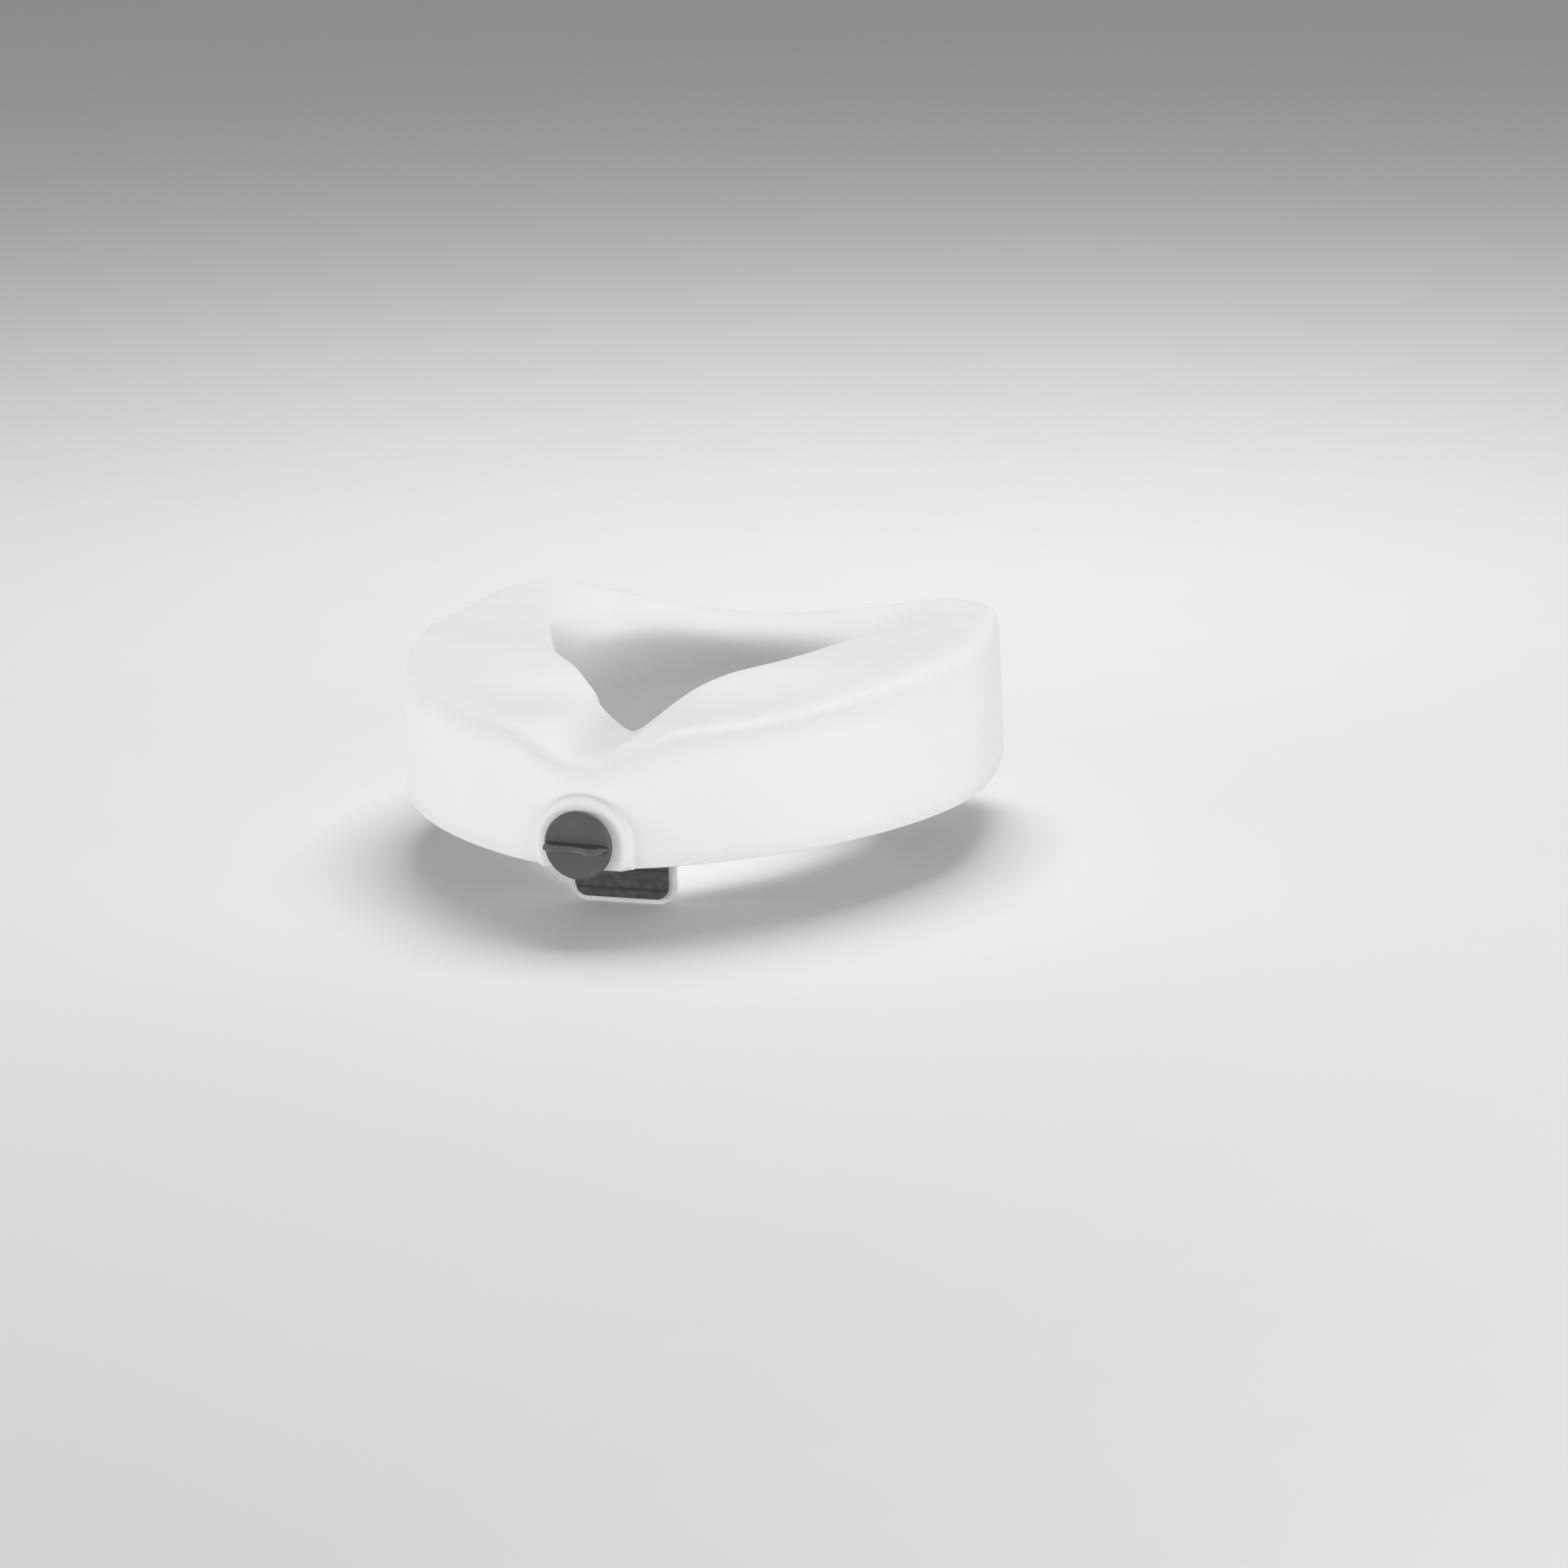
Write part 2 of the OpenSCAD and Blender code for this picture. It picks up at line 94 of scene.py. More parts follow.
# ---------------------------------------------------------------- materials
def surface(name, colour, mottle=0.03, rough=0.45, rough_span=0.08, grain=900, grain_height=0.00004,
            patch=14, metallic=0.0, wear=None, wear_colour=(0.8, 0.8, 0.8), speck=0.0, sheen=0.0, sss=0.0,
            brushed=None, darker_towards_bottom=0.0, gloss=0.5):
    """Procedural surface: broad colour patches, fine grain in bump and roughness, and optional edge wear,
    specks, patchy darkening towards the bottom edge and brushing. grain and patch are noise scales,
    grain_height metres."""
    m = bpy.data.materials.new(name)
    m.use_nodes = True
    nt = m.node_tree
    bsdf = nt.nodes["Principled BSDF"]
    link = nt.links.new
    coord = nt.nodes.new("ShaderNodeTexCoord")
    where = coord.outputs["Object"]
    if brushed:
        mapping = nt.nodes.new("ShaderNodeMapping")
        mapping.inputs["Scale"].default_value = brushed
        link(coord.outputs["Object"], mapping.inputs["Vector"])
        where = mapping.outputs["Vector"]

    def noise(scale, detail, vector=None):
        n = nt.nodes.new("ShaderNodeTexNoise")
        n.inputs["Scale"].default_value = scale
        n.inputs["Detail"].default_value = detail
        n.inputs["Roughness"].default_value = 0.55
        link(vector or coord.outputs["Object"], n.inputs["Vector"])
        return n.outputs["Fac"]

    def remap(fac, lo, hi, from_lo=0.3, from_hi=0.7):
        r = nt.nodes.new("ShaderNodeMapRange")
        r.inputs["From Min"].default_value = from_lo
        r.inputs["From Max"].default_value = from_hi
        r.inputs["To Min"].default_value = lo
        r.inputs["To Max"].default_value = hi
        link(fac, r.inputs["Value"])
        return r.outputs["Result"]

    def mix(fac, a, b, mode="MIX"):
        x = nt.nodes.new("ShaderNodeMix")
        x.data_type = "RGBA"
        x.blend_type = mode
        link(fac, x.inputs["Factor"])
        for socket, value in (("A", a), ("B", b)):
            target = [s for s in x.inputs if s.name == socket and s.type == "RGBA"][0]
            if isinstance(value, tuple):
                target.default_value = (*value, 1)
            else:
                link(value, target)
        return [s for s in x.outputs if s.type == "RGBA"][0]

    dark = tuple(c * (1 - mottle) for c in colour)
    light = tuple(min(1, c * (1 + mottle * 0.6)) for c in colour)
    col = mix(remap(noise(patch, 4), 0, 1), dark, light)
    if speck:
        spots = remap(noise(grain * 0.35, 2), 0, speck, 0.62, 0.75)
        col = mix(spots, col, tuple(c * 0.55 for c in colour))
    # Patchy, slightly yellow darkening over the lowest 12 mm of the object, strongest at the bottom edge.
    if darker_towards_bottom:
        sep = nt.nodes.new("ShaderNodeSeparateXYZ")
        link(coord.outputs["Object"], sep.inputs[0])
        low = remap(sep.outputs["Z"], darker_towards_bottom, 0, -0.001, 0.012)
        bottom_darkening_mask = nt.nodes.new("ShaderNodeMath")
        bottom_darkening_mask.operation = "MULTIPLY"
        link(low, bottom_darkening_mask.inputs[0])
        link(noise(60, 5), bottom_darkening_mask.inputs[1])
        col = mix(bottom_darkening_mask.outputs[0], col, tuple(c * f for c, f in zip(colour, (0.62, 0.60, 0.55))))
    if wear:
        geo = nt.nodes.new("ShaderNodeNewGeometry")
        edge = remap(geo.outputs["Pointiness"], 0, wear, 0.505, 0.56)
        broken = nt.nodes.new("ShaderNodeMath")
        broken.operation = "MULTIPLY"
        link(edge, broken.inputs[0])
        link(remap(noise(180, 5), 0.1, 1, 0.35, 0.6), broken.inputs[1])
        col = mix(broken.outputs[0], col, wear_colour)
    link(col, bsdf.inputs["Base Color"])
    gloss_patches = remap(noise(patch * 9, 6, where), rough - rough_span, rough + rough_span)
    link(gloss_patches, bsdf.inputs["Roughness"])
    fine = nt.nodes.new("ShaderNodeBump")
    fine.inputs["Strength"].default_value = 0.6
    fine.inputs["Distance"].default_value = grain_height
    link(noise(grain, 3, where), fine.inputs["Height"])
    broad = nt.nodes.new("ShaderNodeBump")
    broad.inputs["Strength"].default_value = 0.35
    broad.inputs["Distance"].default_value = grain_height * 6
    link(noise(grain * 0.06, 3, where), broad.inputs["Height"])
    link(fine.outputs["Normal"], broad.inputs["Normal"])
    link(broad.outputs["Normal"], bsdf.inputs["Normal"])
    bsdf.inputs["Metallic"].default_value = metallic
    bsdf.inputs["Specular IOR Level"].default_value = gloss
    bsdf.inputs["Sheen Weight"].default_value = sheen
    if sss:
        bsdf.inputs["Subsurface Weight"].default_value = sss
        bsdf.inputs["Subsurface Radius"].default_value = (1.0, 0.95, 0.85)
        bsdf.inputs["Subsurface Scale"].default_value = 0.004
    return m


MATERIALS = {
    # The body is painted patchily darker towards its bottom edge.
    "body_plastic": surface(
        "body_plastic", (0.84, 0.84, 0.83), mottle=0.02, rough=0.56, rough_span=0.07, grain=1400,
        grain_height=0.00003, patch=9, sss=0.05, darker_towards_bottom=0.35, gloss=0.35),
    "knob_plastic": surface(
        "knob_plastic", (0.082, 0.083, 0.086), mottle=0.10, rough=0.50, rough_span=0.08, grain=1700,
        grain_height=0.00005, patch=60, wear=0.45, wear_colour=(0.26, 0.26, 0.27), speck=0.25),
    "nylon": surface(
        "nylon", (0.72, 0.70, 0.64), mottle=0.05, rough=0.42, grain=1500, patch=40, sss=0.15, wear=0.3,
        wear_colour=(0.80, 0.79, 0.75)),
    "bracket_plastic": surface(
        "bracket_plastic", (0.70, 0.70, 0.69), mottle=0.04, rough=0.48, grain=1300, patch=30,
        grain_height=0.00006, wear=0.35, wear_colour=(0.82, 0.82, 0.81), speck=0.1),
    "grip_rubber": surface(
        "grip_rubber", (0.035, 0.035, 0.037), mottle=0.14, rough=0.78, rough_span=0.08, grain=1500,
        grain_height=0.00010, patch=220, sheen=0.15, wear=0.5, wear_colour=(0.11, 0.11, 0.11), speck=0.12),
    "screw_steel": surface(
        "screw_steel", (0.62, 0.62, 0.61), mottle=0.12, rough=0.32, rough_span=0.12, grain=700, patch=120,
        metallic=1.0, brushed=(1, 14, 1), wear=0.5, wear_colour=(0.85, 0.85, 0.84)),
    "washer_steel": surface(
        "washer_steel", (0.58, 0.58, 0.57), mottle=0.12, rough=0.36, rough_span=0.12, grain=900, patch=90,
        metallic=1.0, brushed=(1, 10, 1)),
    "brass": surface(
        "brass", (0.72, 0.52, 0.22), mottle=0.14, rough=0.34, rough_span=0.1, grain=800, patch=110,
        metallic=1.0, brushed=(1, 8, 1), wear=0.4, wear_colour=(0.88, 0.72, 0.42)),
}


# ---------------------------------------------------------------- mesh helpers
def add_object(name, points, faces):
    mesh = bpy.data.meshes.new(name)
    mesh.from_pydata([tuple(p) for p in points], [], faces)
    mesh.validate()
    ob = bpy.data.objects.new(name, mesh)
    bpy.context.scene.collection.objects.link(ob)
    return ob


def grid_faces(rows, cols, close_rows, close_cols):
    """Four-sided faces between the rows and columns of a grid of points, closed round where asked."""
    faces = []
    for i in range(rows if close_rows else rows - 1):
        for j in range(cols if close_cols else cols - 1):
            i2, j2 = (i + 1) % rows, (j + 1) % cols
            faces.append((i * cols + j, i * cols + j2, i2 * cols + j2, i2 * cols + j))
    return faces


def tidy_normals(ob, sharp_deg=35):
    """Normals outward, smooth faces, and sharp edges where two faces meet at more than the angle."""
    bm = bmesh.new()
    bm.from_mesh(ob.data)
    bmesh.ops.remove_doubles(bm, verts=bm.verts, dist=1e-7)
    bmesh.ops.recalc_face_normals(bm, faces=bm.faces)
    for f in bm.faces:
        f.smooth = True
    limit = math.radians(sharp_deg)
    for e in bm.edges:
        e.smooth = not (len(e.link_faces) == 2 and e.calc_face_angle() > limit)
    bm.to_mesh(ob.data)
    bm.free()


def bake_modifiers(ob):
    """Replace the object's mesh by what its modifiers make of it."""
    dg = bpy.context.evaluated_depsgraph_get()
    mesh = bpy.data.meshes.new_from_object(ob.evaluated_get(dg))
    ob.modifiers.clear()
    ob.data = mesh


def boolean(ob, cutter, operation):
    """Join the cutter to the object or cut it away, and remove the cutter."""
    m = ob.modifiers.new("cut", "BOOLEAN")
    m.operation = operation
    m.solver = "MANIFOLD"
    m.object = cutter
    bake_modifiers(ob)
    if not ob.data.polygons:
        raise RuntimeError(ob.name + " was lost in a cut")
    bpy.data.objects.remove(cutter)


def boxes(name, corners):
    """One mesh of separate boxes, each given by its two corners."""
    bm = bmesh.new()
    for lo, hi in corners:
        for v in bmesh.ops.create_cube(bm, size=1)["verts"]:
            v.co = Vector([l + (c + 0.5) * (h - l) for l, h, c in zip(lo, hi, v.co)])
    mesh = bpy.data.meshes.new(name)
    bm.to_mesh(mesh)
    bm.free()
    ob = bpy.data.objects.new(name, mesh)
    bpy.context.scene.collection.objects.link(ob)
    return ob


def revolve(name, profile, axis_point, segments=96, along="Y"):
    """Closed solid of revolution. profile is (radius, place along the axis), its ends on the axis."""
    pts = []
    for k in range(segments):
        a = 2 * math.pi * k / segments
        for r, t in profile:
            if along == "Y":
                pts.append((axis_point[0] + r * math.cos(a), t, axis_point[2] + r * math.sin(a)))
            else:
                pts.append((axis_point[0] + r * math.cos(a), axis_point[1] + r * math.sin(a), t))
    ob = add_object(name, pts, grid_faces(segments, len(profile), True, False))
    tidy_normals(ob)
    return ob


def rounded(points, radius, steps=6):
    """The polyline with its inner corners rounded."""
    out = [np.array(points[0], float)]
    for a, b, c in zip(points, points[1:], points[2:]):
        a, b, c = (np.array(p, float) for p in (a, b, c))
        la, lc = np.linalg.norm(a - b), np.linalg.norm(c - b)
        cut = min(radius, la * 0.45, lc * 0.45)
        p, q = b + (a - b) / la * cut, b + (c - b) / lc * cut
        for k in range(steps + 1):
            t = k / steps
            out.append((1 - t) ** 2 * p + 2 * t * (1 - t) * b + t * t * q)
    out.append(np.array(points[-1], float))
    return [tuple(p) for p in out]


# ---------------------------------------------------------------- body
# The outline and heights of the CAD body, a quarter of a millimetre inside it all round, in millimetres.
BODY_W, BODY_D, WIDE_Y = 424.0 - 0.5, 405.0 - 0.5, 42.5
FRONT_ROUND, REAR_SQUARE, REAR_TAPER, REAR_DIP, FRONT_BULGE = 1.77, 8.0, 0.12, 11.0, 6.0
SHOULDER_H, SIDE_H, CORNER_H, SCOOP_H, SCOOP_W, REAR_LOW = 92.0, 103.0, 102.0, 72.0, 44.0, 16.5
LIP_H, LIP_FALL, LIP_FALL_W, LIP_REAR = 105.5, 36.5, 29.5, 20.0
LIP_R, LIP_R_FRONT, LIP_R_REAR = 12.0, 7.0, 34.0
RIM_R, RIM_R_FRONT, RIM_R_REAR = 30.0, 26.0, 14.0
BASE_R, FOOT_R, UNDERCUT_Z = 2.5, 4.5, 24.0
# Control points of the opening's right half, front to back.
HALF_OPEN = [(0, -92.5), (24, -97.5), (27, -84), (39, -76), (52, -57), (73, -38.5), (91, -5), (107, 41),
             (117, 64), (100, 106), (64, 134), (0, 134)]
SEAM_Z, SEAM_PROUD, SEAM_WIDE = 5.0, 0.22, 0.55
AXIS_Z = 19.0
BOSS_Y, BOSS_ROOT_Y = -211.5, -185.0
# Cuts in the body, in metres: the clamp's channel, the pads' slots, the plug's recess and the bores.
CHANNEL_FRONT, CHANNEL_TOP, FOOT_TOP = -0.186, 0.034, 0.0041
PAD_PLACES = ((100, -100, 45), (-100, -100, -45), (160, 62, 90), (-160, 62, 90))
PAD_LENGTH, PAD_WIDTH, PAD_TOP = 0.044, 0.0142, 0.0033
BORE_R, RECESS_R, RECESS_TOP, PLUG_TOP, PLUG_Y = 0.00805, 0.0111, 0.0018, 0.011, 0.168


def ease(t):
    t = np.clip(t, 0, 1)
    return t * t * (3 - 2 * t)


def bump_shape(t):
    return np.clip(1 - t * t, 0, 1) ** 1.5


def closed_curve(points, t):
    """Closed uniform cubic B-spline at the places t, each from 0 to the number of points."""
    points = np.asarray(points, float)
    k = len(points)
    i = np.floor(t).astype(int)
    f = t - i
    weights = [(1 - f) ** 3 / 6, (3 * f**3 - 6 * f**2 + 4) / 6, (-3 * f**3 + 3 * f**2 + 3 * f + 1) / 6,
               f**3 / 6]
    shape = (slice(None),) + (None,) * (points.ndim - 1)
    return sum(w[shape] * points[(i + j - 1) % k] for j, w in enumerate(weights))


def outline(u):
    """Outer outline at the angles u: a superellipse with a rounder front, drawn in and dipped at the rear."""
    a = u + math.radians(5) * np.sin(4 * u)
    c, s = np.cos(a), np.sin(a)
    b = np.where(s < 0, BODY_D / 2 + WIDE_Y, BODY_D / 2 - WIDE_Y)
    n = np.where(s < 0, FRONT_ROUND, REAR_SQUARE)
    r = (np.abs(2 * c / BODY_W) ** n + np.abs(s / b) ** n) ** (-1 / n)
    x = r * c * (1 - REAR_TAPER * np.clip(r * s / b, 0, 1) ** 1.6)
    y = r * s + WIDE_Y
    y = y - REAR_DIP * np.clip(1 - (x / 165) ** 2, 0, 1) ** 2 * ease((y - 100) / 80)
    return x, y - FRONT_BULGE * np.exp(-((np.abs(x) / 80) ** 3)) * ease(-y / 50)


def rim_height(x, y):
    """Height of the rim near the outer wall: high corners, a low rear middle and the scoop at the front."""
    rear = ease((y + 30) / 210)
    z = SHOULDER_H + (SIDE_H - SHOULDER_H) * ease((y + 190) / 200)
    z = z + (CORNER_H - SIDE_H) * rear * (1 - bump_shape(x / 175)) - REAR_LOW * rear * bump_shape(x / 160)
    return z - (z - SCOOP_H) * ease((-70 - y) / 90) * np.exp(-((np.abs(x) / SCOOP_W) ** 2.6))


def body_shell(around=440):
    """The moulded shell: one closed section, from the opening over the rim to the outside, swept round."""
    opening = HALF_OPEN + [(-x, y) for x, y in HALF_OPEN[-2:0:-1]]
    inner = closed_curve(opening, np.arange(around) * len(opening) / around)
    u = -math.pi / 2 + 2 * math.pi * np.arange(around) / around
    outer = np.column_stack(outline(u))
    rim = rim_height(outer[:, 0], outer[:, 1])
    front = ease((10 - inner[:, 1]) / 70)
    back = ease((inner[:, 1] - 5) / 95)
    lip = LIP_H - LIP_FALL * front * np.exp(-((np.abs(inner[:, 0]) / LIP_FALL_W) ** 1.6))
    lip = lip - LIP_REAR * ease((inner[:, 1] - 25) / 80)
    lip_r = LIP_R + (LIP_R_FRONT - LIP_R) * front + (LIP_R_REAR - LIP_R) * back
    rim_r = RIM_R + (RIM_R_FRONT - RIM_R) * ease((-outer[:, 1] - 60) / 120)
    rim_r = rim_r + (RIM_R_REAR - RIM_R) * ease((outer[:, 1] - 110) / 70)
    gap = outer - inner
    length = np.linalg.norm(gap, axis=1)
    e = gap / length[:, None]
    crown = lip_r * 0.9 + (length - lip_r * 0.9 - rim_r) / 3
    zero = np.zeros(around)
    # Each control is a distance from the opening and a height, at every place round.
    controls = [(zero + BASE_R, zero), (zero, zero), (zero, zero + FOOT_R), (zero, zero + UNDERCUT_Z),
                (zero, lip * 0.55), (zero, lip - lip_r * 1.4), (lip_r * 0.1, lip - lip_r * 0.2),
                (lip_r * 0.9, lip + 1), (crown, lip * 0.6 + rim * 0.4 + 1), (length - rim_r * 1.6, rim + 1.5),
                (length - rim_r * 0.8, rim + 2), (length - rim_r * 0.1, rim - rim_r * 0.05),
                (length - 1.6, rim - rim_r * 1.2), (length - 1, rim * 0.5), (length, zero + UNDERCUT_Z),
                (length, zero + FOOT_R), (length, zero), (length - BASE_R, zero), (length / 2, zero)]
    controls = np.array([np.column_stack((d, z)) for d, z in controls])
    coarse = np.linspace(0, len(controls), 190, endpoint=False)
    seam = np.linspace(14.35, 15.25, 40)
    t = np.unique(np.concatenate((coarse, seam)))
    curve = closed_curve(controls, t)
    d, z = curve[:, :, 0], curve[:, :, 1]
    outside = d > length * 0.5
    d = d + outside * SEAM_PROUD * np.exp(-(((z - SEAM_Z) / SEAM_WIDE) ** 2))
    x = inner[:, 0] + e[:, 0] * d
    y = inner[:, 1] + e[:, 1] * d
    # Broad, faint waviness of a blow-moulded wall.
    wave = 0.22 * np.sin(x / 31 + 1.3) * np.sin(y / 37 + 0.4)
    wave = wave + 0.14 * np.sin((x + y) / 19) * np.sin(z / 23 + 0.9)
    z = z + (wave - 0.2) * ease((z - 20) / 30)
    points = np.stack((x, y, z), axis=2).reshape(-1, 3) * MM
    ob = add_object("seat_shell", points, grid_faces(len(t), around, True, True))
    tidy_normals(ob, 60)
    return ob


def arch_loop(half, low, corner, counts=(24, 5, 26, 72)):
    """Closed outline of the boss: a flat bottom at height low with cut corners, upright sides and a round
    top. counts are the points along the bottom, a cut corner, a side and the top."""
    bottom, cut, side, arc = counts
    wide, start = half - corner, low + corner * 0.7
    right = [(half - corner * (1 - k / cut), low + corner * 0.7 * k / cut) for k in range(cut)]
    right += [(half, start + (AXIS_Z - start) * k / side) for k in range(side)]
    left = [(-x, z) for x, z in right[::-1]]
    angles = [math.pi * k / arc for k in range(arc + 1)]
    top = [(half * math.cos(a), AXIS_Z + half * math.sin(a)) for a in angles]
    base = [(-wide + 2 * wide * k / bottom, low) for k in range(1, bottom)]
    return right + top + left + base


def boss(shell):
    """Arch round the knob with a rounded edge, whose flanks run back to the shell's own front wall."""
    bm = bmesh.new()
    bm.from_mesh(shell.data)
    tree = BVHTree.FromBMesh(bm)
    bm.free()

    def wall(x, z):
        hit = tree.ray_cast(Vector((x * MM, -0.3, max(z, 4) * MM)), Vector((0, 1, 0)))[0]
        return hit.y / MM if hit else -198.0

    def wall_or_face(x, z, share):
        return BOSS_Y + (wall(x, z) - BOSS_Y) * share

    # half width, bottom, share of the way from the face (0) to the wall (1), extra depth
    loops = [(9, 1.3, 0, 0), (20, 1.3, 0, 0), (27.3, 1.3, 0, 0), (28.5, 1.25, 0, 0.08),
             (29.8, 1.05, 0, 0.4), (31.0, 0.75, 0, 0.9), (32.0, 0.4, 0, 1.6), (32.6, 0.1, 0, 2.4),
             (32.9, 0, 0, 3.2), (33.0, 0, 0.5, 1.6), (33.1, 0, 0.80, 0.5), (33.3, 0, 0.90, 0.1),
             (33.8, 0, 0.965, 0), (34.3, 0, 0.99, 0), (34.7, 0, 1.0, 0.15), (35.0, 0.3, 1.0, 2.5)]
    pts = []
    for half, low, share, extra in loops:
        for x, z in arch_loop(half, low, 0.5 + max(half - 28.5, 0) * (1 - share)):
            seam = 0.28 * math.exp(-(((z - 7.6) / 0.5) ** 2)) * (1 - share)
            side = math.copysign(seam, x) * (abs(x) > 32)
            pts.append((x + side, wall_or_face(x, z, share) + extra - seam, z))
    n = len(arch_loop(1, 0, 0.3))
    faces = grid_faces(len(loops), n, False, True)
    centre = len(pts)
    pts.append((0, BOSS_Y, AXIS_Z))
    faces += [(centre, (j + 1) % n, j) for j in range(n)]
    back = len(pts)
    last = (len(loops) - 1) * n
    pts.append((0, BOSS_ROOT_Y, AXIS_Z))
    faces += [(back, last + j, last + (j + 1) % n) for j in range(n)]
    ob = add_object("boss", [(x * MM, y * MM, z * MM) for x, y, z in pts], faces)
    tidy_normals(ob, 60)
    return ob


def pill(x, y, angle, length, width, z0, z1, steps=16):
    """Closed bar with round ends, for cutting: list of points and faces."""
    ring = []
    for s in (1, -1):
        for k in range(steps + 1):
            a = -math.pi / 2 + math.pi * k / steps + (0 if s > 0 else math.pi)
            ring.append((s * length / 2 + width / 2 * math.cos(a), width / 2 * math.sin(a)))
    c, s = math.cos(angle), math.sin(angle)
    turned = [(x + c * p - s * q, y + s * p + c * q) for p, q in ring]
    n = len(turned)
    pts = [(p, q, z0) for p, q in turned] + [(p, q, z1) for p, q in turned]
    faces = [tuple(range(n))[::-1], tuple(range(n, 2 * n))]
    faces += [(j, (j + 1) % n, n + (j + 1) % n, n + j) for j in range(n)]
    return pts, faces


def seat_body():
    """The shell with its boss, cut for the clamp's channel, the brackets' feet, the pads, the plug and
    the screw's bore."""
    shell = body_shell()
    boolean(shell, boss(shell), "UNION")
    low = [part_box(n)[0] for n in ("rear_bracket_left", "rear_bracket_right")]
    high = [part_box(n)[1] for n in ("rear_bracket_left", "rear_bracket_right")]
    rail_left, rail_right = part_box("guide_rail_left"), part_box("guide_rail_right")
    rail_end = max(rail_left[1].y, rail_right[1].y)
    half = rail_right[1].x + 0.00005
    cutters = [((-half, CHANNEL_FRONT, -0.01), (half, rail_end + 0.002, CHANNEL_TOP))]
    for a, b in zip(low, high):
        cutters.append(((a.x - 0.0002, a.y - 0.001, -0.01), (b.x + 0.0002, b.y + 0.0002, FOOT_TOP)))
    boolean(shell, boxes("cut", cutters), "DIFFERENCE")
    pts, faces = [], []
    for x, y, angle in PAD_PLACES:
        p, f = pill(x * MM, y * MM, math.radians(angle), PAD_LENGTH, PAD_WIDTH, -0.005, PAD_TOP)
        faces += [tuple(i + len(pts) for i in face) for face in f]
        pts += p
    slots = add_object("cut", pts, faces)
    tidy_normals(slots)
    boolean(shell, slots, "DIFFERENCE")
    recess = [(0, -0.005), (RECESS_R, -0.005), (RECESS_R, RECESS_TOP), (BORE_R, RECESS_TOP),
              (BORE_R, PLUG_TOP), (0, PLUG_TOP)]
    boolean(shell, revolve("cut", recess, (0, PLUG_Y, 0), 64, "Z"), "DIFFERENCE")
    bore = [(0, -0.22), (BORE_R, -0.22), (BORE_R, -0.184), (0, -0.184)]
    boolean(shell, revolve("cut", bore, (0, 0, AXIS_Z * MM), 64), "DIFFERENCE")
    tidy_normals(shell, 40)
    return shell


# ---------------------------------------------------------------- knob
def smooth_steps(x, xs, values):
    """Smooth curve through a few values at a few places."""
    for x0, x1, v0, v1 in zip(xs, xs[1:], values, values[1:]):
        if x <= x1:
            t = min(max((x - x0) / (x1 - x0), 0), 1)
            return v0 + (v1 - v0) * t * t * (3 - 2 * t)
    return values[-1]


def wing_section(x, top):
    """Cross section of the finger wing at x: how far it stands proud, the height and half thickness of its
    ridge, and the height of its root."""
    proud = smooth_steps(x, (-23, -12, -2, 11, 16, 23),
                         (top - 0.3, top - 0.5, top - 1.7, top - 0.05, top - 0.6, 3.0))
    ridge = smooth_steps(x, (-23, -6, 2, 11, 23), (18.6, 18.6, 18.5, 17.3, 18.4))
    half = smooth_steps(x, (-23, -6, 2, 11, 17, 23), (2.1, 2.0, 2.0, 2.4, 2.2, 1.3))
    root_top = 21.3 - 0.030 * (x + 23)
    return proud, ridge, half, root_top


KNOB_R, KNOB_T = 23.9, 5.2
WING_FROM, WING_LENGTH, WING_STEPS, FLANK_STEPS = -23.0, 45.6, 160, 14


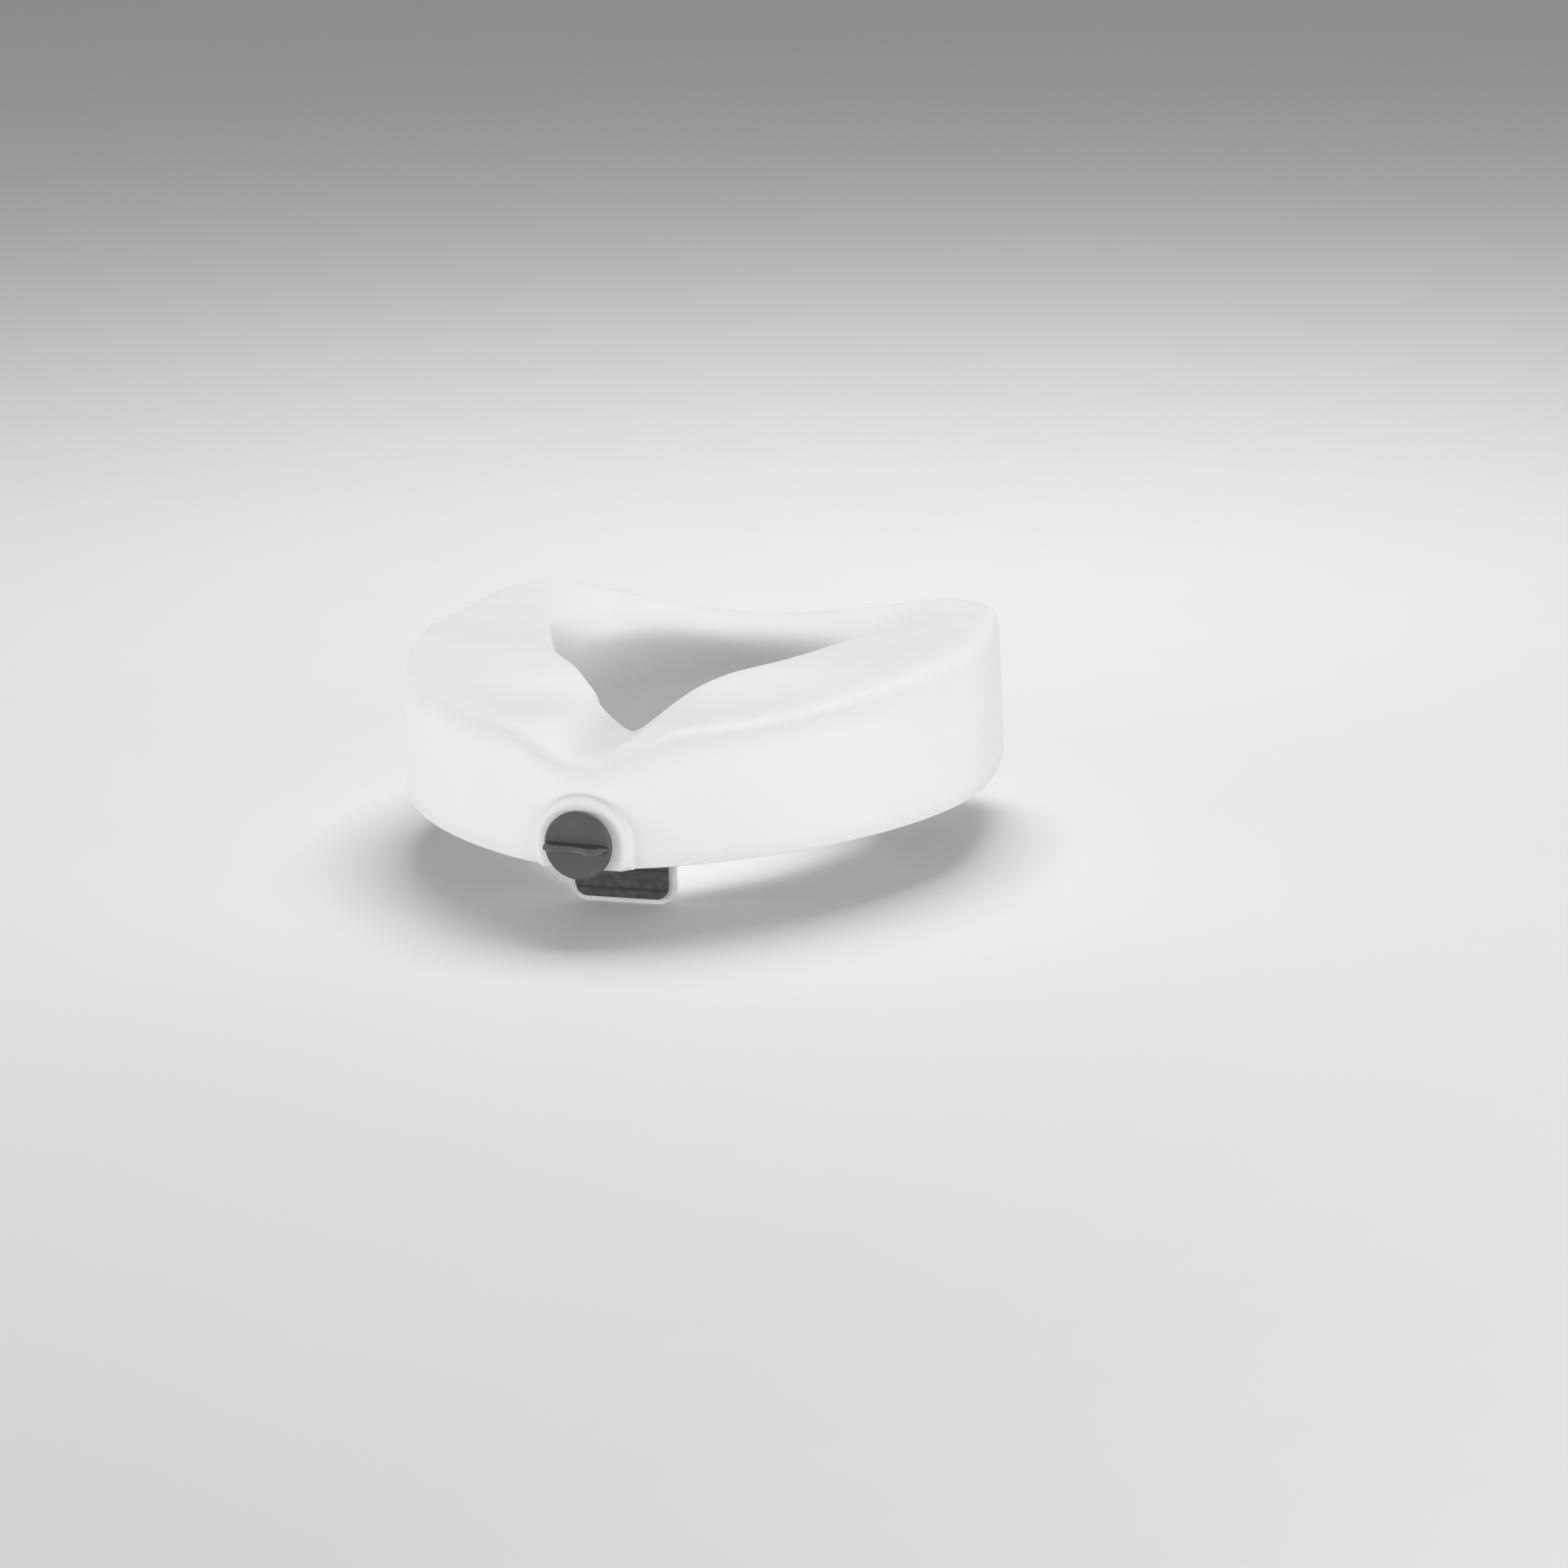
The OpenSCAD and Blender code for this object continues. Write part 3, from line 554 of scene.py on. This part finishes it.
def knob():
    """A disc with a raised edge, and the wavy finger wing across it, in one mesh."""
    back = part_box("knob")[1].y / MM
    face = back - KNOB_T
    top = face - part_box("knob")[0].y / MM
    r = KNOB_R
    profile = rounded([(0, back), (r - 0.8, back), (r, back - 0.8), (r, face + 1.3), (r - 1.1, face + 0.15),
                       (r - 1.5, face), (r - 2.1, face), (r - 2.4, face + 0.18), (0, face + 0.18)], 0.35, 4)
    disc = revolve("knob_disc", [(p * MM, q * MM) for p, q in profile], (0, 0, AXIS_Z * MM), 180)
    pts = []
    for i in range(WING_STEPS):
        x = WING_FROM + WING_LENGTH * i / (WING_STEPS - 1)
        s = (x + 0.2) / 22.8
        end = math.sqrt(max(1 - abs(s) ** 12, 0.002))
        proud, ridge, half, root_top = wing_section(x, top)
        lean = (root_top - 1.9) - ridge
        tip = max(half - 0.35, 0.3)
        # The crest, rolled a little at its edges, then the lower face to the disc and the upper face back.
        loop = [(proud - 0.75, half), (proud - 0.28, half - 0.07), (proud - 0.04, half - 0.32),
                (proud, tip - 0.25), (proud - 0.30, 0.35 * tip), (proud - 0.34, 0),
                (proud - 0.30, -0.4 * tip), (proud - 0.1, -tip), (proud - 0.35, -half + 0.12),
                (proud - 0.9, -half)]
        shares = [k / FLANK_STEPS for k in range(FLANK_STEPS + 1)]
        under = [(proud * (1 - f) * 0.92 - 0.6 * f, -half - 0.25 * f - 0.5 * f**6) for f in shares[1:]]
        above = [(-0.6 + (proud * 0.92 + 0.6) * f, half + 0.1 + 0.5 * (1 - f) ** 6) for f in shares[:-1]]
        for depth, side in loop + under + above:
            share = min(max(1 - depth / proud, 0), 1)
            z = ridge + lean * share + side * end
            y = face - depth * (0.45 + 0.55 * end if depth > 0 else 1)
            if depth > proud - 1:
                y += 0.9 * math.exp(-(((x - 12.6) / 0.8) ** 2) - ((z - 17.9) / 0.75) ** 2)
                y += 0.25 * math.exp(-(((x + 6.5) / 1.6) ** 2) - ((z - 18.9) / 0.8) ** 2)
            pts.append((x, y, z))
    n = len(pts) // WING_STEPS
    faces = grid_faces(WING_STEPS, n, False, True)
    for row in (0, WING_STEPS - 1):
        centre = len(pts)
        ring = [row * n + k for k in range(n)]
        pts.append(tuple(np.mean([pts[j] for j in ring], axis=0)))
        faces += [(centre, ring[k], ring[(k + 1) % n]) for k in range(n)]
    wing = add_object("wing", [tuple(c * MM for c in p) for p in pts], faces)
    tidy_normals(wing, 50)
    boolean(disc, wing, "UNION")
    tidy_normals(disc, 34)
    for polygon in disc.data.polygons:
        if abs(polygon.normal.y) > 0.9999:
            polygon.use_smooth = False
    return disc


# ---------------------------------------------------------------- worm screw
def worm_screw():
    """The screw with its journal, clip groove and a real helical thread."""
    lo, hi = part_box("worm_screw")
    clip_lo, clip_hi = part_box("retaining_clip")
    wash_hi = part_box("inner_washer")[1]
    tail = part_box("tail_bearing")[0].y
    lead, root, crest = 0.006, 0.0043, 0.006
    start, stop = clip_hi.y + 0.0015, tail - 0.001
    ys = np.unique(np.concatenate((
        np.linspace(lo.y, start, 60), np.linspace(start, stop, 260), np.linspace(stop, hi.y, 40),
        [lo.y + 0.0006, hi.y - 0.0008, wash_hi.y, wash_hi.y + 0.0001, clip_lo.y, clip_hi.y])))
    segments = 84
    pts = []
    for y in ys:
        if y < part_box("knob")[1].y:
            base = 0.004
        elif y < wash_hi.y + 0.00005:
            base = 0.005
        elif y < clip_hi.y:
            base = 0.0037
        elif y < tail - 0.0004:
            base = root
        else:
            base = 0.004
        base -= max(0, 0.0006 - (y - lo.y), 0.0008 - (hi.y - y))
        for k in range(segments):
            a = 2 * math.pi * k / segments
            phase = ((y - start) / lead + a / (2 * math.pi)) % 1.0
            flank = min(max((0.30 - abs(phase - 0.5)) / 0.13, 0), 1)
            fade = min(max((y - start) / 0.002, 0), 1) * min(max((stop - y) / 0.002, 0), 1)
            r = base + (crest - root) * flank * fade if start < y < stop else base
            pts.append((r * math.cos(a), y, AXIS_Z * MM + r * math.sin(a)))
    faces = grid_faces(len(ys), segments, False, True)
    for row, y in ((0, ys[0]), (len(ys) - 1, ys[-1])):
        centre = len(pts)
        pts.append((0, y, AXIS_Z * MM))
        ring = [row * segments + k for k in range(segments)]
        faces += [(centre, ring[k], ring[(k + 1) % segments]) for k in range(segments)]
    ob = add_object("worm_screw_threaded", pts, faces)
    tidy_normals(ob, 40)
    return ob


# ---------------------------------------------------------------- fixing screws
def fixing_screws():
    """Countersunk screws with a cross recess, where the CAD has them."""
    profile = rounded([(0, 0), (0.0029, 0), (0.00295, 0.0002), (0.0016, 0.002), (0.0016, 0.0094),
                       (0.0010, 0.0102), (0, 0.0102)], 0.0001, 2)
    one = revolve("one_screw", profile, (0, 0, 0), 48, "Z")
    long, narrow = 0.0016, 0.00038
    for x, y in ((long, narrow), (narrow, long)):
        boolean(one, boxes("cut", [((-x, -y, -0.001), (x, y, 0.0011))]), "DIFFERENCE")
    bm = bmesh.new()
    bm.from_mesh(frame["nodes"]["fixing_screws"].data)
    bmesh.ops.remove_doubles(bm, verts=bm.verts, dist=1e-6)
    left = set(bm.verts)
    places = []
    while left:
        seed = left.pop()
        island, todo = [seed], [seed]
        while todo:
            v = todo.pop()
            for e in v.link_edges:
                w = e.other_vert(v)
                if w in left:
                    left.remove(w)
                    island.append(w)
                    todo.append(w)
        co = np.array([v.co for v in island])
        lo, hi = co.min(0), co.max(0)
        axis = int(np.argmax(hi - lo))
        middle = (lo + hi) / 2
        across = (axis + 1) % 3
        spread = [np.ptp(co[np.abs(co[:, axis] - end) < 2e-4][:, across]) for end in (lo[axis], hi[axis])]
        head_low = spread[0] > spread[1]
        at = middle.copy()
        at[axis] = lo[axis] if head_low else hi[axis]
        way = np.zeros(3)
        way[axis] = 1 if head_low else -1
        places.append((Vector(at), Vector(way)))
    bm.free()
    places.sort(key=lambda p: tuple(round(c, 5) for c in p[0]))
    out = bmesh.new()
    for turn, (at, way) in enumerate(places):
        mesh = one.data.copy()
        spin = Matrix.Rotation(0.5 * turn, 4, "Z")
        mesh.transform(Matrix.Translation(at) @ way.to_track_quat("Z", "Y").to_matrix().to_4x4() @ spin)
        out.from_mesh(mesh)
        bpy.data.meshes.remove(mesh)
    mesh = bpy.data.meshes.new("fixing_screws_cross")
    out.to_mesh(mesh)
    out.free()
    bpy.data.objects.remove(one)
    ob = bpy.data.objects.new("fixing_screws_cross", mesh)
    bpy.context.scene.collection.objects.link(ob)
    tidy_normals(ob, 35)
    return ob


# ---------------------------------------------------------------- put together
def place(ob, name, body, slot, *nodes):
    """Name a piece, give it its material and body, and let it stand for its CAD nodes."""
    ob.name = name
    ob.data.materials.clear()
    ob.data.materials.append(MATERIALS[slot])
    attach(ob, body)
    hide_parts(*nodes)


place(seat_body(), "seat_body_moulded", "seat", "body_plastic", "seat_body")
place(knob(), "knob_with_wing", "knob_and_screw", "knob_plastic", "knob")
place(worm_screw(), "worm_screw_threaded", "knob_and_screw", "screw_steel", "worm_screw")
place(fixing_screws(), "fixing_screws_cross", "seat", "screw_steel", "fixing_screws")

# The CAD nodes that stay in view get their slot's material and finely rounded edges, in metres.
SOFT_EDGE, METAL_EDGE = 0.0005, 0.0002
slots = {s["node"]: s["material_slot"] for s in frame["record"]["subparts"]}
for node, ob in frame["nodes"].items():
    ob.data.materials.clear()
    ob.data.materials.append(MATERIALS[slots[node]])
    if ob.hide_render:
        continue
    weld = ob.modifiers.new("weld", "WELD")
    weld.merge_threshold = 1e-6
    edge = ob.modifiers.new("edge", "BEVEL")
    edge.width = SOFT_EDGE if slots[node] in ("bracket_plastic", "nylon", "grip_rubber") else METAL_EDGE
    edge.segments = 3
    edge.limit_method = "ANGLE"
    edge.angle_limit = math.radians(40)
    edge.harden_normals = False


# ---------------------------------------------------------------- stage
WORLD_STRENGTH = 0.29
# name, place, width and height, watts
SOFTBOXES = [
    ("soft_front_left", (-2.2, -1.9, 0.35), (2.2, 0.9), 43),
    ("soft_front_right", (2.2, -1.3, 0.35), (2.2, 0.9), 33),
    ("soft_top", (0.0, 1.0, 2.1), (1.8, 1.4), 37),
]


def softbox(name, spot, size, power):
    data = bpy.data.lights.new(name, "AREA")
    data.shape = "RECTANGLE"
    data.size, data.size_y = size
    data.energy = power
    light = bpy.data.objects.new(name, data)
    light.location = spot
    light.rotation_euler = (Vector((0, 0, 0.06)) - Vector(spot)).to_track_quat("-Z", "Y").to_euler()
    bpy.context.scene.collection.objects.link(light)


def stage():
    floor = add_object("floor", [(-6, -6, 0), (6, -6, 0), (6, 6, 0), (-6, 6, 0)], [(0, 1, 2, 3)])
    floor.location.z = cad_box[0].z
    floor.data.materials.append(surface("floor", (0.86, 0.86, 0.86), mottle=0.01, rough=0.7, rough_span=0.04,
                                        grain=300, grain_height=0.00005, patch=2))
    world = bpy.data.worlds.new("world")
    world.use_nodes = True
    world.node_tree.nodes["Background"].inputs["Color"].default_value = (1, 1, 1, 1)
    world.node_tree.nodes["Background"].inputs["Strength"].default_value = WORLD_STRENGTH
    bpy.context.scene.world = world
    for box in SOFTBOXES:
        softbox(*box)
    bpy.context.scene.view_settings.view_transform = "Standard"


stage()
bpy.context.view_layer.update()
